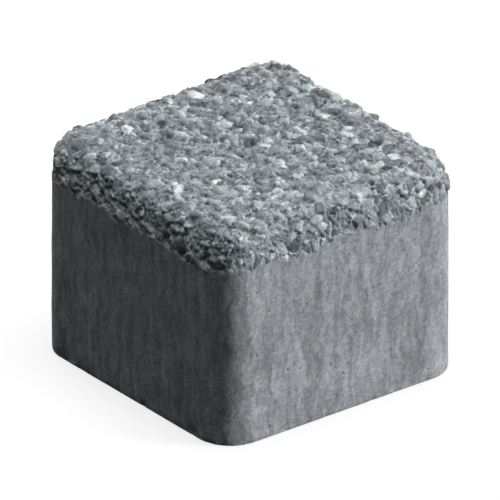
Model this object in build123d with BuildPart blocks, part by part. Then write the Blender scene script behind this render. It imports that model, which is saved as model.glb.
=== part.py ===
from build123d import *
import os

# Square concrete paver, one stone of a small-format paving system. Sizes in mm.
# It lies as it is laid: bedding face down on Z = 0, walking face up, centred on the origin.

# Laying grid: the step from one stone to the next each way, and the open joint between two stones
grid_x = 105.0
grid_y = 105.0
joint = 2.0

# The stone
thickness = 80.0
corner_radius = 13.5  # upright edges, as the mould leaves them
arris_radius = 8.0  # rounded edge all round the walking face

# Each stone is smaller than its grid step by one joint
length = grid_x - joint
width = grid_y - joint

# The arris runs round the upright edges, so it stays tighter than they are
arris = min(arris_radius, 0.9 * corner_radius)

with BuildPart() as paver:
    # Plan outline of the mould, pressed to the full thickness
    with BuildSketch(Plane.XY):
        RectangleRounded(length, width, corner_radius)
    extrude(amount=thickness)

    # Rounded arris round the walking face, while the bedding edge stays crisp
    walking_face = paver.faces().sort_by(Axis.Z)[-1]
    fillet(walking_face.edges(), radius=arris)

paver.part.label = "paver"

os.makedirs("parts", exist_ok=True)
export_step(paver.part, "parts/paver.step")
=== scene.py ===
import math

import bpy
import numpy as np
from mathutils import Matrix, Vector


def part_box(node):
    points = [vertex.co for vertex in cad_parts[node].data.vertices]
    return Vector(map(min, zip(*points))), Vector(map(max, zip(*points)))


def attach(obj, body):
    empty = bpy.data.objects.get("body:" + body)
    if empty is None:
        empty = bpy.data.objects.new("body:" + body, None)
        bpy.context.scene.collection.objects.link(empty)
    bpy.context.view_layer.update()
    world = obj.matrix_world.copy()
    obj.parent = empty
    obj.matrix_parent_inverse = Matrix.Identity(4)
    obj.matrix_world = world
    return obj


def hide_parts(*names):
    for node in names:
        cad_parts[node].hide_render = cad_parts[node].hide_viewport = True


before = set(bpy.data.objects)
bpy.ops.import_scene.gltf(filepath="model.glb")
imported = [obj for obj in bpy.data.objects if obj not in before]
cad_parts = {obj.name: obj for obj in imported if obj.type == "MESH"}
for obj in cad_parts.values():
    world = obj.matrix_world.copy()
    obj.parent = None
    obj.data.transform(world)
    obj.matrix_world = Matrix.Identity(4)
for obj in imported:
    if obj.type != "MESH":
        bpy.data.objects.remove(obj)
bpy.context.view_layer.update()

# Sizes of the stone, in metres, from its solid
low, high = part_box("paver")
HALF_X = (high[0] - low[0]) / 2
HALF_Y = (high[1] - low[1]) / 2
HEIGHT = high[2] - low[2]
CORNER = 0.0135
ARRIS = 0.008
FOOT_BREAK = 0.0008

# Fineness of the mesh: steps along one side, of which the rounded corners take a sixth
STEPS = 192
ARRIS_ROWS = 24
FINE_FOOT = 0.060
BAND_ROWS = 25
SIDE_ROWS = 40
HALVING_DROP = 0.0008


# Outline of the stone in plan

def outline(inset, steps):
    """Points round the stone, set in from its sides. Each side starts in the middle of a corner."""
    bend = steps // 12
    straight = steps - 2 * bend
    radius = CORNER - inset
    far_x, far_y = HALF_X - CORNER, HALF_Y - CORNER
    centres = [(-far_x, -far_y), (far_x, -far_y), (far_x, far_y), (-far_x, far_y)]
    points = []
    for side in range(4):
        start, end = centres[side], centres[(side + 1) % 4]
        turn = math.radians(270 + 90 * side)
        for k in range(bend):
            angle = turn - math.radians(45) * (1 - k / bend)
            points.append((start[0] + radius * math.cos(angle), start[1] + radius * math.sin(angle)))
        out = (radius * math.cos(turn), radius * math.sin(turn))
        for k in range(straight):
            t = k / straight
            x = start[0] + t * (end[0] - start[0]) + out[0]
            y = start[1] + t * (end[1] - start[1]) + out[1]
            points.append((x, y))
        for k in range(bend):
            angle = turn + math.radians(45) * k / bend
            points.append((end[0] + radius * math.cos(angle), end[1] + radius * math.sin(angle)))
    return np.array(points)


def square(steps):
    """The same walk round a square of half size 1."""
    along = np.linspace(-1, 1, steps, endpoint=False)
    one = np.ones(steps)
    sides = [(along, -one), (one, along), (-along, one), (-one, -along)]
    return np.concatenate([np.stack(side, axis=1) for side in sides])


def grid(ring, steps):
    """A grid of points that fills a ring: even squares in the middle, following the ring at its edge."""
    step = np.linspace(-1, 1, steps + 1)
    a, b = np.meshgrid(step, step, indexing="ij")
    size = np.maximum(np.abs(a), np.abs(b))
    safe = np.where(size > 0, size, 1)
    u, v = a / safe, b / safe
    walk = np.where(v <= -1 + 1e-9, u + 1, 0.0)
    walk = np.where((u >= 1 - 1e-9) & (v > -1 + 1e-9), v + 3, walk)
    walk = np.where((v >= 1 - 1e-9) & (u < 1 - 1e-9), 5 - u, walk)
    walk = np.where((u <= -1 + 1e-9) & (v < 1 - 1e-9) & (v > -1 + 1e-9), 7 - v, walk)
    at = walk * steps / 2
    closed = np.concatenate([ring, ring[:1]])
    index = np.arange(len(closed))
    edge_x = np.interp(at, index, closed[:, 0])
    edge_y = np.interp(at, index, closed[:, 1])
    half_x, half_y = ring[:, 0].max(), ring[:, 1].max()
    follow = size ** 6
    x = size * (follow * edge_x + (1 - follow) * u * half_x)
    y = size * (follow * edge_y + (1 - follow) * v * half_y)
    return x, y


def ring_of_grid(index):
    """The numbers of a grid's outer points, in the order of the walk."""
    sides = [index[:-1, 0], index[-1, :-1], index[:0:-1, -1], index[0, :0:-1]]
    return np.concatenate(sides)


# Mesh of the stone

points = []
faces = []
face_maps = []


def add_points(xy, z):
    start = sum(len(p) for p in points)
    xyz = np.column_stack([xy, np.broadcast_to(z, len(xy))])
    points.append(xyz)
    return np.arange(start, start + len(xy))


def add_faces(corners, maps):
    faces.extend(corners.tolist())
    face_maps.extend(maps.reshape(-1, 2).tolist())


def join_rings(upper, lower, upper_map, lower_map):
    """Four-sided faces between two rings of as many points."""
    up, down = np.roll(upper, -1), np.roll(lower, -1)
    up_map, down_map = np.roll(upper_map, -1, axis=0), np.roll(lower_map, -1, axis=0)
    corners = np.stack([upper, lower, down, up], axis=1)
    add_faces(corners, np.stack([upper_map, lower_map, down_map, up_map], axis=1))


def halve_ring(fine, coarse, fine_map, coarse_map):
    """Three-sided faces from a ring to one of half as many points, further along the surface."""
    a, b, c = fine[0::2], fine[1::2], np.roll(fine[0::2], -1)
    a_map, b_map, c_map = fine_map[0::2], fine_map[1::2], np.roll(fine_map[0::2], -1, axis=0)
    d, e = coarse, np.roll(coarse, -1)
    d_map, e_map = coarse_map, np.roll(coarse_map, -1, axis=0)
    add_faces(np.stack([a, d, b], axis=1), np.stack([a_map, d_map, b_map], axis=1))
    add_faces(np.stack([b, d, e], axis=1), np.stack([b_map, d_map, e_map], axis=1))
    add_faces(np.stack([b, e, c], axis=1), np.stack([b_map, e_map, c_map], axis=1))


def fill_grid(index, map_u, map_v, flip):
    corners = [index[:-1, :-1], index[1:, :-1], index[1:, 1:], index[:-1, 1:]]
    corners = np.stack(corners, axis=-1).reshape(-1, 4)
    uv = np.stack([map_u, map_v], axis=-1)
    maps = [uv[:-1, :-1], uv[1:, :-1], uv[1:, 1:], uv[:-1, 1:]]
    maps = np.stack(maps, axis=-2).reshape(-1, 4, 2)
    if flip:
        corners = corners[:, ::-1]
        maps = maps[:, ::-1]
    add_faces(corners, maps)


# Flat map of the surface: walking face with its band, four lower sides, bedding face
MAP_WIDE = 0.190
MAP_TALL = 0.270


def flat(u, v):
    return np.stack([np.asarray(u) / MAP_WIDE, np.asarray(v) / MAP_TALL], axis=-1)


TOP_HALF = HALF_X - ARRIS
TOP_MIDDLE = (0.0695, 0.200)


def top_map(steps, beyond):
    reach = TOP_HALF + beyond
    around = square(steps)
    return flat(TOP_MIDDLE[0] + around[:, 0] * reach, TOP_MIDDLE[1] + around[:, 1] * reach)


# Walking face
top_x, top_y = grid(outline(ARRIS, STEPS), STEPS)
top_flat = np.column_stack([top_x.ravel(), top_y.ravel()])
top_index = add_points(top_flat, HEIGHT).reshape(top_x.shape)
even = np.linspace(-1, 1, STEPS + 1) * TOP_HALF
even_u, even_v = np.meshgrid(even, even, indexing="ij")
top_uv = flat(TOP_MIDDLE[0] + even_u, TOP_MIDDLE[1] + even_v)
fill_grid(top_index, top_uv[..., 0], top_uv[..., 1], False)
ring = ring_of_grid(top_index)
ring_map = top_map(STEPS, 0.0)

# Rounded arris and the band below it
run = 0.0
for row in range(1, ARRIS_ROWS + 1):
    angle = math.radians(90) * (1 - row / ARRIS_ROWS)
    run = ARRIS * (math.radians(90) - angle)
    inset = ARRIS * (1 - math.cos(angle))
    new = add_points(outline(inset, STEPS), HEIGHT - ARRIS + ARRIS * math.sin(angle))
    new_map = top_map(STEPS, run)
    join_rings(ring, new, ring_map, new_map)
    ring, ring_map = new, new_map
band_top = HEIGHT - ARRIS
band_step = (band_top - FINE_FOOT) / BAND_ROWS
for row in range(1, BAND_ROWS + 1):
    new = add_points(outline(0.0, STEPS), band_top - band_step * row)
    new_map = top_map(STEPS, run + band_step * row)
    join_rings(ring, new, ring_map, new_map)
    ring, ring_map = new, new_map

# Lower sides, half as fine along the walk
COARSE = STEPS // 2
side_outline = outline(0.0, COARSE)
side_top = FINE_FOOT - HALVING_DROP
new = add_points(side_outline, side_top)
halve_ring(ring, new, ring_map, top_map(COARSE, run + band_top - side_top))
ring = new
SIDE_CORNERS = [(0.002, 0.002), (0.097, 0.002), (0.002, 0.064), (0.097, 0.064)]
SIDE_WIDE = 0.091
FOOT_ANGLES = (0.52, 1.05, 1.57)
side_levels = np.linspace(side_top, FOOT_BREAK, SIDE_ROWS + 1)[1:]
foot_steps = [(FOOT_BREAK * (1 - math.cos(a)), FOOT_BREAK * (1 - math.sin(a))) for a in FOOT_ANGLES]
rows = [(0.0, z) for z in side_levels] + foot_steps
level = side_top
for inset, z in rows:
    new = add_points(outline(inset, COARSE), z)
    for side in range(4):
        at = np.arange(side * COARSE, (side + 1) * COARSE)
        after = (at + 1) % (4 * COARSE)
        left, foot = SIDE_CORNERS[side]
        u0 = left + SIDE_WIDE * (at - side * COARSE) / COARSE
        u1 = left + SIDE_WIDE * (at + 1 - side * COARSE) / COARSE
        v0 = np.full(COARSE, foot + level)
        v1 = np.full(COARSE, foot + z)
        maps = np.stack([flat(u0, v0), flat(u0, v1), flat(u1, v1), flat(u1, v0)], axis=1)
        add_faces(np.stack([ring[at], new[at], new[after], ring[after]], axis=1), maps)
    ring = new
    level = z

# Bedding face, coarser towards its middle
BED_MIDDLE = (0.164, 0.240)
BED_SCALE = 0.24


def bed_map(inset, steps):
    around = outline(inset, steps) * BED_SCALE
    return flat(BED_MIDDLE[0] + around[:, 0], BED_MIDDLE[1] + around[:, 1])


bed_insets = [(FOOT_BREAK, COARSE), (0.003, COARSE // 2), (0.007, COARSE // 4)]
for (inset, steps), (next_inset, next_steps) in zip(bed_insets, bed_insets[1:]):
    if next_steps == COARSE // 4:
        inner_x, inner_y = grid(outline(next_inset, next_steps), next_steps)
        inner = np.column_stack([inner_x.ravel(), inner_y.ravel()])
        bed_index = add_points(inner, 0.0).reshape(inner_x.shape)
        new = ring_of_grid(bed_index)
    else:
        new = add_points(outline(next_inset, next_steps), 0.0)
    halve_ring(ring, new, bed_map(inset, steps), bed_map(next_inset, next_steps))
    ring = new
bed_uv = flat(BED_MIDDLE[0] + inner_x * BED_SCALE, BED_MIDDLE[1] + inner_y * BED_SCALE)
fill_grid(bed_index, bed_uv[..., 0], bed_uv[..., 1], True)

blank = bpy.data.meshes.new("blank_stone")
blank.from_pydata(np.concatenate(points).tolist(), [], faces)
blank.polygons.foreach_set("use_smooth", np.ones(len(faces), dtype=bool))
layer = blank.uv_layers.new(name="OFBake")
layer.uv.foreach_set("vector", np.array(face_maps, dtype=np.float32).ravel())
blank.validate()
blank.update()


# Nodes shared by the relief and the material

class Graph:
    """Adds nodes to a tree. Places are in millimetres."""

    def __init__(self, tree):
        self.tree = tree

    def put(self, kind, inputs=(), **settings):
        node = self.tree.nodes.new(kind)
        for name, value in settings.items():
            setattr(node, name, value)
        for name, value in dict(inputs).items():
            if isinstance(value, bpy.types.NodeSocket):
                self.tree.links.new(value, node.inputs[name])
            else:
                node.inputs[name].default_value = value
        return node

    def math(self, operation, *values):
        node = self.put("ShaderNodeMath", dict(enumerate(values)), operation=operation)
        return node.outputs[0]

    def vector(self, operation, *values):
        node = self.put("ShaderNodeVectorMath", dict(enumerate(values)), operation=operation)
        return node.outputs[0]

    def scaled(self, vector, factor):
        node = self.put("ShaderNodeVectorMath", {0: vector, "Scale": factor}, operation="SCALE")
        return node.outputs[0]

    def apart(self, vector):
        return self.put("ShaderNodeSeparateXYZ", {0: vector}).outputs

    def step(self, value, start, end, low=0.0, high=1.0):
        inputs = {"Value": value, "From Min": start, "From Max": end, "To Min": low, "To Max": high}
        return self.put("ShaderNodeMapRange", inputs, interpolation_type="SMOOTHSTEP").outputs[0]

    def blend(self, factor, a, b):
        return self.put("ShaderNodeMix", {0: factor, 2: a, 3: b}, data_type="FLOAT").outputs[0]

    def tint(self, factor, a, b):
        return self.put("ShaderNodeMix", {0: factor, 6: a, 7: b}, data_type="RGBA").outputs[2]

    def noise(self, place, size, detail=2.0, rough=0.5):
        inputs = {"Vector": place, "Scale": 1 / size, "Detail": detail, "Roughness": rough}
        return self.put("ShaderNodeTexNoise", inputs)

    def cells(self, place, size, feature="F1"):
        inputs = {"Vector": place, "Scale": 1 / size, "Randomness": 1.0}
        return self.put("ShaderNodeTexVoronoi", inputs, feature=feature)


# Crushed stone: name, width in mm, share of places filled and tilt of the grains
GRAIN_KINDS = (("large", 4.2, 0.60, 0.55), ("small", 1.9, 0.75, 0.62))

# Foot of the rough band in mm above the ground, and the height of its teeth
FOOT_LOW = 63.8
FOOT_HIGH = 67.2
FOOT_TEETH = 1.1

# Depth of open holes between the grains, in mm
HOLE_DEPTH = 0.95


def stone_fields(g, place):
    """The concrete at a place: its grains, where it is rough, and how deep the rough surface lies."""
    x, y, z = g.apart(place)

    # Crushed stone in two sizes, each grain with an uneven outline, a rounded top and a tilt of its own
    wander = g.noise(place, 2.3, 2.0).outputs[1]
    uneven = g.vector("ADD", place, g.scaled(g.vector("SUBTRACT", wander, (0.5, 0.5, 0.5)), 2.2))
    grains = {}
    for name, size, share, tilt in GRAIN_KINDS:
        shifted = g.vector("ADD", uneven, (31.0 * size, 17.0 * size, 53.0 * size))
        cell = g.cells(shifted, size)
        edge = g.cells(shifted, size, "DISTANCE_TO_EDGE").outputs[0]
        tone, chance, rise = g.apart(cell.outputs["Color"])
        mask = g.math("MULTIPLY", g.math("LESS_THAN", chance, share), g.step(edge, 0.01, 0.08))
        turned = g.vector("FRACTION", g.scaled(cell.outputs["Color"], 7.3))
        turned = g.vector("SUBTRACT", turned, (0.5, 0.5, 0.5))
        away = g.vector("SUBTRACT", shifted, cell.outputs["Position"])
        slope = g.put("ShaderNodeVectorMath", {0: away, 1: turned}, operation="DOT_PRODUCT")
        slope = g.math("MULTIPLY", slope.outputs["Value"], tilt)
        grains[name] = dict(tone=tone, rise=rise, mask=mask, slope=slope, edge=g.step(edge, 0.22, 0.0))
    large, small = grains["large"], grains["small"]

    # Foot of the rough band on the sides
    foot_wave = g.noise(place, 9.0, 2.0, 0.6).outputs[0]
    foot_teeth = g.noise(place, 2.6, 1.0).outputs[0]
    foot = g.step(foot_wave, 0.25, 0.75, FOOT_LOW, FOOT_HIGH)
    foot = g.math("ADD", foot, g.step(foot_teeth, 0.2, 0.8, -FOOT_TEETH, FOOT_TEETH))
    above = g.math("SUBTRACT", z, foot)
    rough = g.step(above, -0.35, 0.45)

    # Depth of the rough surface below the stone's outline
    depth = g.step(g.noise(place, 1.5, 3.0, 0.6).outputs[0], 0.2, 0.8, 1.5, 0.85)
    for grain, deep, shallow, round_off in ((small, 1.1, 0.5, 0.35), (large, 0.9, 0.1, 0.45)):
        grain_top = g.math("SUBTRACT", g.step(grain["rise"], 0.0, 1.0, deep, shallow), grain["slope"])
        grain_top = g.math("ADD", grain_top, g.math("MULTIPLY", grain["edge"], round_off))
        depth = g.blend(grain["mask"], depth, grain_top)
    hole = g.step(g.noise(place, 4.0, 2.0, 0.55).outputs[0], 0.57, 0.67)
    hole = g.math("MULTIPLY", hole, g.step(z, 72.0, 79.5, 0.2, 1.0))
    depth = g.math("ADD", depth, g.math("MULTIPLY", hole, HOLE_DEPTH))
    return dict(x=x, y=y, z=z, large=large, small=small, above=above, rough=rough, depth=depth)


# Relief of the stone in mm: the rough surface lies either side of the solid's, the smooth just inside

MEAN_DEPTH = 0.75
SIDE_DEPTH = 0.2
SWELL = 0.28
LEAN = 1.4
ARRIS_LOSS = 0.8
MOULD_WAVE = 0.12
CHIP_DEPTH = 0.9

relief = bpy.data.node_groups.new("stone_relief", "GeometryNodeTree")
relief.interface.new_socket("Geometry", in_out="INPUT", socket_type="NodeSocketGeometry")
relief.interface.new_socket("Geometry", in_out="OUTPUT", socket_type="NodeSocketGeometry")
g = Graph(relief)
source = g.put("NodeGroupInput").outputs[0]
position = g.put("GeometryNodeInputPosition").outputs[0]
normal = g.put("GeometryNodeInputNormal").outputs[0]
place = g.scaled(position, 1000.0)
f = stone_fields(g, place)
swell = g.step(g.noise(place, 15.0, 2.0, 0.5).outputs[0], 0.25, 0.75, -SWELL, SWELL)
rough_depth = g.math("ADD", g.math("SUBTRACT", f["depth"], MEAN_DEPTH), swell)

# The rough band is flatter at its foot, where it starts level with the side, and leans in above
level = g.step(f["above"], 0.0, 5.0, 0.5, 1.0)
lean = g.step(f["above"], 0.0, 10.0, 0.0, LEAN)
sideways = g.math("SUBTRACT", 1.0, g.apart(normal)[2])
lean = g.math("MULTIPLY", lean, sideways)
rough_depth = g.math("ADD", g.math("MULTIPLY", rough_depth, level), g.math("ADD", lean, SIDE_DEPTH))

# The arris has lost more stone in places
half = HALF_X * 1000
from_x = g.math("SUBTRACT", half, g.math("ABSOLUTE", f["x"]))
from_y = g.math("SUBTRACT", half, g.math("ABSOLUTE", f["y"]))
from_arris = g.math("ADD", g.math("MINIMUM", from_x, from_y), g.math("SUBTRACT", HEIGHT * 1000, f["z"]))
at_arris = g.step(from_arris, 9.0, 4.0)
lost = g.step(g.noise(place, 6.0, 3.0, 0.55).outputs[0], 0.42, 0.66)
lost = g.math("MULTIPLY", at_arris, lost)
rough_depth = g.math("ADD", rough_depth, g.math("MULTIPLY", lost, ARRIS_LOSS))

# Lower sides as the mould left them, with a slightly worn foot
mould = g.noise(place, 22.0, 2.0, 0.5).outputs[0]
mould = g.step(mould, 0.3, 0.7, SIDE_DEPTH - MOULD_WAVE, SIDE_DEPTH + MOULD_WAVE)
low_down = g.step(f["z"], 4.0, 0.6)
chipped = g.step(g.noise(place, 6.0, 2.0, 0.6).outputs[0], 0.56, 0.72)
chipped = g.math("MULTIPLY", low_down, chipped)
side_depth = g.math("ADD", mould, g.math("MULTIPLY", chipped, CHIP_DEPTH))
side_depth = g.math("MULTIPLY", side_depth, g.step(f["z"], 0.0, 0.5))

depth = g.blend(f["rough"], side_depth, rough_depth)
kept = g.put(
    "GeometryNodeStoreNamedAttribute",
    {"Geometry": source, "Name": "rest_mm", "Value": place},
    data_type="FLOAT_VECTOR",
    domain="POINT",
).outputs[0]
offset = g.scaled(g.scaled(normal, depth), -0.001)
moved = g.put("GeometryNodeSetPosition", {"Geometry": kept, "Offset": offset}).outputs[0]
g.put("NodeGroupOutput", {0: moved})

stone = bpy.data.objects.new("paver_stone", blank)
bpy.context.scene.collection.objects.link(stone)
shaping = stone.modifiers.new("relief", "NODES")
shaping.node_group = relief
depsgraph = bpy.context.evaluated_depsgraph_get()
shaped = bpy.data.meshes.new_from_object(stone.evaluated_get(depsgraph), depsgraph=depsgraph)
stone.modifiers.clear()
stone.data = shaped
shaped.name = "paver_stone"
bpy.data.meshes.remove(blank)


# Concrete

concrete = bpy.data.materials.new("concrete")
concrete.use_nodes = True
concrete.node_tree.nodes.clear()
g = Graph(concrete.node_tree)
rest = g.put("ShaderNodeAttribute", attribute_name="rest_mm").outputs["Vector"]
f = stone_fields(g, rest)


def ramp(value, stops):
    node = g.put("ShaderNodeValToRGB", {0: value})
    while len(node.color_ramp.elements) < len(stops):
        node.color_ramp.elements.new(0.5)
    for element, (at, colour) in zip(node.color_ramp.elements, stops):
        element.position = at
        element.color = (*colour, 1.0)
    return node.outputs[0]


def shade(colour, value, low, high):
    """The colour made darker or paler by a value from about 0.3 to 0.7."""
    return g.scaled(colour, g.step(value, 0.28, 0.72, low, high))


MORTAR_GREY = (0.303, 0.337, 0.356)
SIDE_GREY = (0.338, 0.356, 0.374)
PORE_SHADE_GREY = (0.070, 0.076, 0.080, 1.0)

# Grains: dark and pale crushed stone in grey mortar
grain_stops = [
    (0.00, (0.092, 0.106, 0.115)),
    (0.08, (0.140, 0.160, 0.172)),
    (0.25, (0.224, 0.254, 0.270)),
    (0.55, (0.312, 0.347, 0.367)),
    (0.82, (0.405, 0.440, 0.460)),
    (0.94, (0.520, 0.548, 0.562)),
    (1.00, (0.610, 0.632, 0.644)),
]
sand = g.noise(rest, 0.6, 2.0, 0.7).outputs[0]
fleck = g.noise(rest, 0.9, 3.0, 0.65).outputs[0]
mortar_colour = shade(MORTAR_GREY, sand, 0.66, 1.34)
top_colour = g.tint(f["small"]["mask"], mortar_colour, ramp(f["small"]["tone"], grain_stops))
top_colour = g.tint(f["large"]["mask"], top_colour, ramp(f["large"]["tone"], grain_stops))
top_colour = shade(top_colour, fleck, 0.76, 1.24)
patches = g.noise(rest, 5.0, 2.0, 0.6).outputs[0]
top_colour = shade(top_colour, patches, 0.68, 1.30)
# Painted shade and light: the deeper the rough surface lies, the darker it is painted, and the proud
# grains a little paler
top_colour = g.scaled(top_colour, g.step(f["depth"], 0.5, 2.3, 1.12, 0.62))

# Painted highlight: the arris and the top of the band below it are painted a little paler
arris_highlight = g.math("MULTIPLY", g.step(f["z"], 69.0, 75.0), g.step(f["z"], 80.0, 78.5))
top_colour = g.scaled(top_colour, g.step(arris_highlight, 0.0, 1.0, 1.01, 1.10))

# Sides: moulded mortar with sand, wavering upright drag marks and small air holes
wave = g.vector("SUBTRACT", g.noise(rest, 9.0, 2.0).outputs[1], (0.5, 0.5, 0.5))
drawn_out = g.vector("MULTIPLY", rest, (1.0, 1.0, 0.09))
drag_place = g.vector("ADD", drawn_out, g.vector("MULTIPLY", wave, (7.0, 7.0, 0.0)))
drag = g.noise(drag_place, 2.4, 2.0, 0.55).outputs[0]
clouds = g.noise(rest, 18.0, 3.0, 0.55).outputs[0]
grit = g.cells(rest, 0.95)
grit_tone = g.apart(grit.outputs["Color"])[0]
smears = g.noise(g.vector("MULTIPLY", drag_place, (1.0, 1.0, 4.5)), 4.6, 2.0, 0.6).outputs[0]
side_colour = shade(SIDE_GREY, drag, 0.78, 1.22)
side_colour = shade(side_colour, smears, 0.87, 1.13)
side_colour = shade(side_colour, clouds, 0.94, 1.06)
side_colour = shade(side_colour, sand, 0.86, 1.14)
side_colour = g.scaled(side_colour, g.step(grit_tone, 0.0, 1.0, 0.86, 1.14))
pore_place = g.vector("ADD", rest, g.scaled(g.noise(rest, 0.9, 1.0).outputs[1], 0.7))
pore_cells = g.cells(pore_place, 2.6)
pore_size = g.step(g.apart(pore_cells.outputs["Color"])[0], 0.55, 1.0, 0.0, 0.20)
pore = g.step(g.math("SUBTRACT", pore_size, pore_cells.outputs[0]), 0.0, 0.05)
# Painted shade: the small air holes are painted near black
side_colour = g.tint(g.math("MULTIPLY", pore, 0.65), side_colour, PORE_SHADE_GREY)
colour = g.tint(f["rough"], side_colour, top_colour)

# Fine relief below the size of the mesh, in mm
fine = g.noise(rest, 0.45, 3.0, 0.7).outputs[0]
top_bump = g.math("SUBTRACT", g.math("MULTIPLY", fine, 0.32), g.math("MULTIPLY", f["depth"], 0.22))
top_bump = g.math("MULTIPLY", top_bump, g.step(f["z"], 75.0, 70.0, 1.0, 1.7))
side_bump = g.math("ADD", g.math("MULTIPLY", drag, 0.10), g.math("MULTIPLY", fine, 0.14))
side_bump = g.math("ADD", side_bump, g.math("MULTIPLY", grit_tone, 0.04))
side_bump = g.math("SUBTRACT", side_bump, g.math("MULTIPLY", pore, 0.35))
bump_height = g.blend(f["rough"], side_bump, top_bump)
bump = g.put("ShaderNodeBump", {"Height": bump_height, "Strength": 1.0, "Distance": 0.001}).outputs[0]
gloss = g.math("MULTIPLY", f["large"]["mask"], g.step(f["large"]["rise"], 0.2, 1.0, 0.0, 0.2))
roughness = g.math("SUBTRACT", 0.93, gloss)
shader = g.put(
    "ShaderNodeBsdfPrincipled",
    {
        "Base Color": colour,
        "Roughness": roughness,
        "Normal": bump,
        "Diffuse Roughness": 0.2,
        "Specular IOR Level": 0.12,
    },
).outputs[0]
g.put("ShaderNodeOutputMaterial", {"Surface": shader})
shaped.materials.append(concrete)

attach(stone, "root")
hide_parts("paver")


# Surroundings: white where they are seen, dim where they light the stone

WHITE = (1.0, 1.0, 1.0, 1.0)
FLOOR_REACH = 4.0
FLOOR_MATT = 0.32
FLOOR_GLOW = 0.70
DIM_MATT = 0.02
DIM_GLOW = 0.01
AMBIENT = 0.033


def seen_rays(g):
    """1 for rays that show a surface, straight or by reflection, and 0 for rays that only light it."""
    rays = g.put("ShaderNodeLightPath").outputs
    seen = g.math("MAXIMUM", rays["Is Camera Ray"], rays["Is Glossy Ray"])
    return g.math("MAXIMUM", seen, rays["Is Transmission Ray"])


def floor_shader(g, grey, glow):
    matt = g.put("ShaderNodeBsdfDiffuse", {"Color": (grey, grey, grey, 1.0)}).outputs[0]
    light = g.put("ShaderNodeEmission", {"Color": WHITE, "Strength": glow}).outputs[0]
    return g.put("ShaderNodeAddShader", {0: matt, 1: light}).outputs[0]


# Floor: pale, with the stone's shadow on it
far = FLOOR_REACH
floor_mesh = bpy.data.meshes.new("floor")
floor_corners = [(-far, -far, 0.0), (far, -far, 0.0), (far, far, 0.0), (-far, far, 0.0)]
floor_mesh.from_pydata(floor_corners, [], [(0, 1, 2, 3)])
floor = bpy.data.objects.new("floor", floor_mesh)
bpy.context.scene.collection.objects.link(floor)
pale = bpy.data.materials.new("pale_floor")
pale.use_nodes = True
pale.node_tree.nodes.clear()
g = Graph(pale.node_tree)
white = floor_shader(g, FLOOR_MATT, FLOOR_GLOW)
dim = floor_shader(g, DIM_MATT, DIM_GLOW)
surface = g.put("ShaderNodeMixShader", {0: seen_rays(g), 1: dim, 2: white}).outputs[0]
g.put("ShaderNodeOutputMaterial", {"Surface": surface})
floor_mesh.materials.append(pale)

# World
world = bpy.data.worlds.new("studio")
world.use_nodes = True
world.node_tree.nodes.clear()
g = Graph(world.node_tree)
around = g.put("ShaderNodeBackground", {"Color": WHITE, "Strength": AMBIENT}).outputs[0]
behind = g.put("ShaderNodeBackground", {"Color": WHITE, "Strength": 1.0}).outputs[0]
mixed = g.put("ShaderNodeMixShader", {0: seen_rays(g), 1: around, 2: behind}).outputs[0]
g.put("ShaderNodeOutputWorld", {"Surface": mixed})
bpy.context.scene.world = world


# Soft lamps: a low one from the right, one from above and a weak one from behind

def lamp(name, towards, strength, angle):
    data = bpy.data.lights.new(name, "SUN")
    data.energy = strength
    data.angle = math.radians(angle)
    made = bpy.data.objects.new(name, data)
    made.rotation_mode = "QUATERNION"
    made.rotation_quaternion = Vector(towards).to_track_quat("Z", "Y")
    bpy.context.scene.collection.objects.link(made)


lamp("right_light", (0.715, -0.665, 0.21), 3.65, 16.0)
lamp("upper_light", (0.0, 0.0, 1.0), 2.55, 40.0)
lamp("back_light", (0.30, 0.92, 0.25), 1.2, 30.0)

# Camera at the photograph's angle, without perspective
AZIMUTH = math.radians(-37.9)
RISE = math.radians(27.2)
VIEW_WIDTH = 0.168
CAMERA_AWAY = 1.0
back = Vector((math.sin(AZIMUTH) * math.cos(RISE), -math.cos(AZIMUTH) * math.cos(RISE), math.sin(RISE)))
lens = bpy.data.cameras.new("camera")
lens.type = "ORTHO"
lens.ortho_scale = VIEW_WIDTH
lens.clip_start = 0.01
lens.clip_end = 20.0
camera = bpy.data.objects.new("camera", lens)
camera.location = Vector((0.0, 0.0, HEIGHT / 2)) + back * CAMERA_AWAY
camera.rotation_mode = "QUATERNION"
camera.rotation_quaternion = (-back).to_track_quat("-Z", "Y")
bpy.context.scene.collection.objects.link(camera)
bpy.context.scene.camera = camera
bpy.context.scene.view_settings.view_transform = "Standard"
